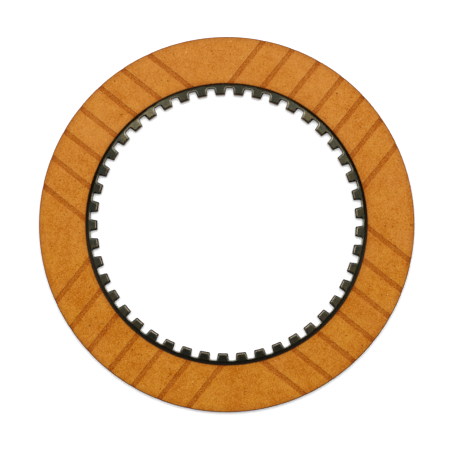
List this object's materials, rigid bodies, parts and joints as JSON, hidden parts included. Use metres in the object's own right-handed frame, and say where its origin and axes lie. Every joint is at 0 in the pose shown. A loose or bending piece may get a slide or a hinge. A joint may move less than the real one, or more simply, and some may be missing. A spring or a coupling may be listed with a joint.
{
  "type": "clutch disc",
  "caption": "Flat ring-shaped wet clutch friction plate: a steel core with a toothed bore that slides on a hub, and a grooved paper facing on each side that grips the plates beside it.",
  "frame": {"origin": "centre of the plate, on its axis and half way through its thickness", "axes": "+Z along the plate's axis, out of the upper facing; +X points to the right and +Y to the top of the picture"},
  "size_m": [0.1598, 0.1598, 0.003],
  "materials": {
    "core_steel": "satin",
    "friction_paper": "matte"
  },
  "bodies": {
    "root": {"core_plate": "core_steel", "upper_facing": "friction_paper", "lower_facing": "friction_paper"}
  },
  "joints": []
}
